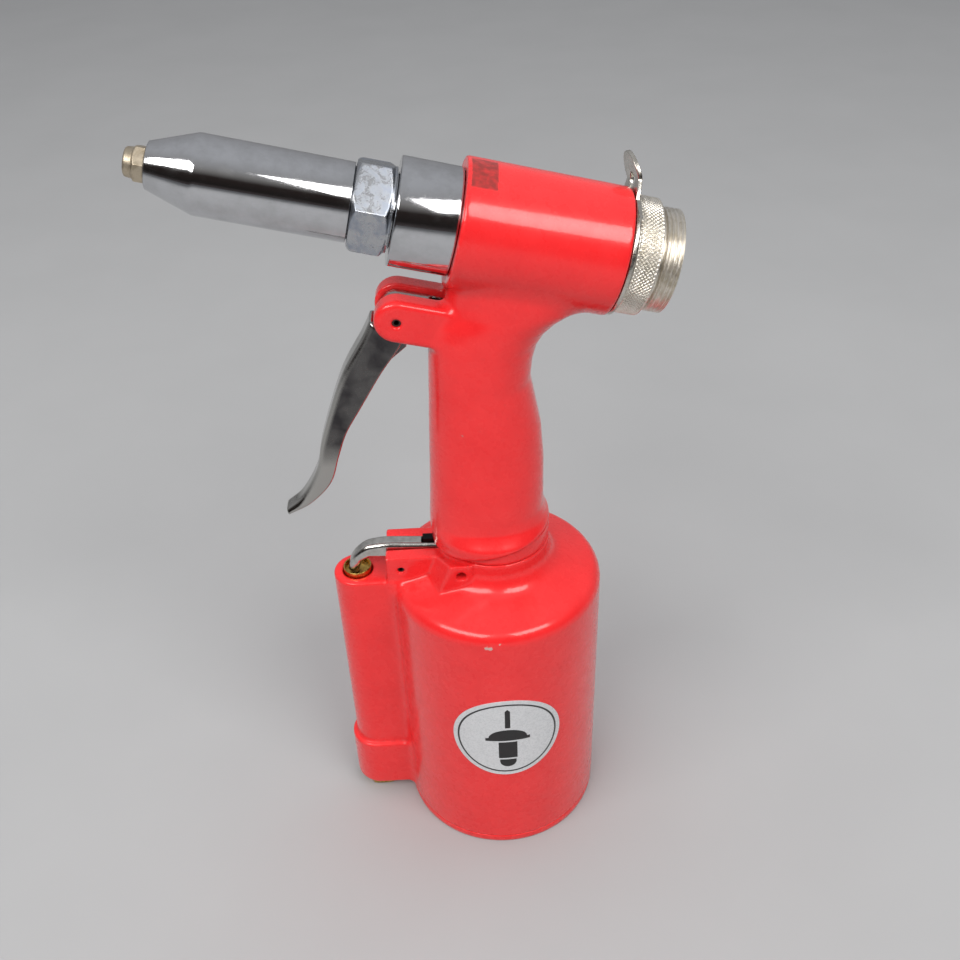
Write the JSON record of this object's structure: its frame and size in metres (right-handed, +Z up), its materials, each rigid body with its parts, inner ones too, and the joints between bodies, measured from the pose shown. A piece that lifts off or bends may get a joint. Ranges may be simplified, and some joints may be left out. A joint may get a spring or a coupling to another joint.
{
  "type": "pneumatic blind rivet gun",
  "caption": "Air-hydraulic blind rivet gun: red cast handle and upright air cylinder, chrome pulling head raised at the nose, long curved trigger, side air valve and knurled rear cap.",
  "frame": {"origin": "centre of the base cap's underside, on the air cylinder's axis", "axes": "+Z up along the air cylinder, nose towards -X and raised 14 degrees, symmetry plane Y = 0, -Y is the near side with the badge"},
  "size_m": [0.1657, 0.0805, 0.2906],
  "materials": {
    "red_paint": "gloss coral red paint on cast aluminium",
    "chrome": "bright chrome plate",
    "ground_steel": "ground and hard-chromed rod",
    "nickel": "satin nickel plate, slightly stained",
    "steel": "polished and handled steel",
    "spring_steel": "drawn spring wire",
    "black_steel": "black oxide",
    "brass": "turned brass",
    "aluminium": "turned aluminium",
    "rubber": "black nitrile",
    "label_film": "printed metallised film"
  },
  "bodies": {
    "tool_body": {"handle_frame": "red_paint", "hanger": "chrome", "rear_cap": "nickel", "front_sleeve": "chrome", "front_sleeve_seal": "rubber", "rod_seal": "rubber", "head_lock_nut": "nickel", "frame_head": "chrome", "nosepiece": "nickel", "return_spring": "spring_steel", "bleed_screw": "steel", "trigger_pin": "steel", "valve_lever_pin": "steel", "air_cylinder": "red_paint", "clamp_screw_near": "black_steel", "clamp_screw_far": "black_steel", "cylinder_lock_nut": "steel", "ram_gland": "brass", "ram_seal": "rubber", "plunger_guide": "brass", "valve_seat": "brass", "valve_spring": "spring_steel", "air_inlet": "brass", "air_inlet_seal": "rubber", "inlet_strainer": "steel", "base_cap": "red_paint", "base_cap_seal": "rubber", "piston_bumper": "rubber", "badge": "label_film"},
    "trigger": {"trigger": "steel", "trigger_link_pin": "steel"},
    "trigger_rod": {"trigger_rod": "black_steel"},
    "valve_lever": {"valve_lever": "chrome", "lever_link_pin": "steel"},
    "valve_plunger": {"valve_plunger": "brass", "plunger_seal": "rubber"},
    "valve_poppet": {"valve_poppet": "brass"},
    "air_piston": {"air_piston": "aluminium", "air_piston_seal": "rubber", "air_piston_washer": "steel", "air_piston_nut": "steel", "ram": "ground_steel"},
    "pulling_piston": {"pulling_piston": "steel", "pulling_piston_seal": "rubber", "adapter_lock_nut": "steel", "jaw_case_adapter": "steel", "jaw_case": "steel", "jaw_pusher_spring": "spring_steel"},
    "jaw_pusher": {"jaw_pusher": "steel"},
    "jaw_1": {"jaw_1": "steel"},
    "jaw_2": {"jaw_2": "steel"},
    "jaw_3": {"jaw_3": "steel"}
  },
  "joints": [
    {"name": "trigger_pivot", "type": "hinge", "parent": "tool_body", "child": "trigger", "pos_m": [-0.0291, 0, 0.2318], "axis": [0, -1, 0], "range_deg": [0, 15], "stiffness_Nm_per_rad": 2},
    {"name": "trigger_rod_slide", "type": "slide", "parent": "tool_body", "child": "trigger_rod", "axis": [0.0477, 0, 0.9989], "range_m": [0, 0.00384]},
    {"name": "valve_lever_pivot", "type": "hinge", "parent": "tool_body", "child": "valve_lever", "pos_m": [-0.0356, 0, 0.1275], "axis": [0, -1, 0], "range_deg": [0, 13.31]},
    {"name": "valve_plunger_slide", "type": "slide", "parent": "tool_body", "child": "valve_plunger", "axis": [0, 0, -1], "range_m": [0, 0.00431]},
    {"name": "valve_poppet_slide", "type": "slide", "parent": "tool_body", "child": "valve_poppet", "axis": [0, 0, -1], "range_m": [0, 0.00431], "deforming": ["valve_spring"]},
    {"name": "air_piston_stroke", "type": "slide", "parent": "tool_body", "child": "air_piston", "axis": [0, 0, 1], "range_m": [0, 0.056], "stiffness_N_per_m": 1000},
    {"name": "pulling_stroke", "type": "slide", "parent": "tool_body", "child": "pulling_piston", "axis": [0.9703, 0, -0.2419], "range_m": [0, 0.016], "deforming": ["return_spring"]},
    {"name": "jaw_pusher_slide", "type": "slide", "parent": "pulling_piston", "child": "jaw_pusher", "axis": [-0.9703, 0, 0.2419], "range_m": [0, 0.0024], "deforming": ["jaw_pusher_spring"]},
    {"name": "jaw_1_slide", "type": "slide", "parent": "pulling_piston", "child": "jaw_1", "axis": [-0.9999, 0, -0.0144], "range_m": [0, 0.00249]},
    {"name": "jaw_2_slide", "type": "slide", "parent": "pulling_piston", "child": "jaw_2", "axis": [-0.907, -0.2216, 0.358], "range_m": [0, 0.00249]},
    {"name": "jaw_3_slide", "type": "slide", "parent": "pulling_piston", "child": "jaw_3", "axis": [-0.907, 0.2216, 0.358], "range_m": [0, 0.00249]}
  ],
  "couplings": [
    {"joint": "trigger_rod_slide", "follows": "trigger_pivot", "m_per_rad": 0.01463},
    {"joint": "valve_lever_pivot", "follows": "trigger_pivot", "ratio": 0.88667},
    {"joint": "valve_plunger_slide", "follows": "trigger_pivot", "m_per_rad": 0.016425},
    {"joint": "valve_poppet_slide", "follows": "trigger_pivot", "m_per_rad": 0.016425},
    {"joint": "pulling_stroke", "follows": "air_piston_stroke", "ratio": 0.28571},
    {"joint": "jaw_pusher_slide", "follows": "air_piston_stroke", "ratio": 0.0428},
    {"joint": "jaw_1_slide", "follows": "air_piston_stroke", "ratio": 0.0443},
    {"joint": "jaw_2_slide", "follows": "air_piston_stroke", "ratio": 0.0443},
    {"joint": "jaw_3_slide", "follows": "air_piston_stroke", "ratio": 0.0443}
  ]
}
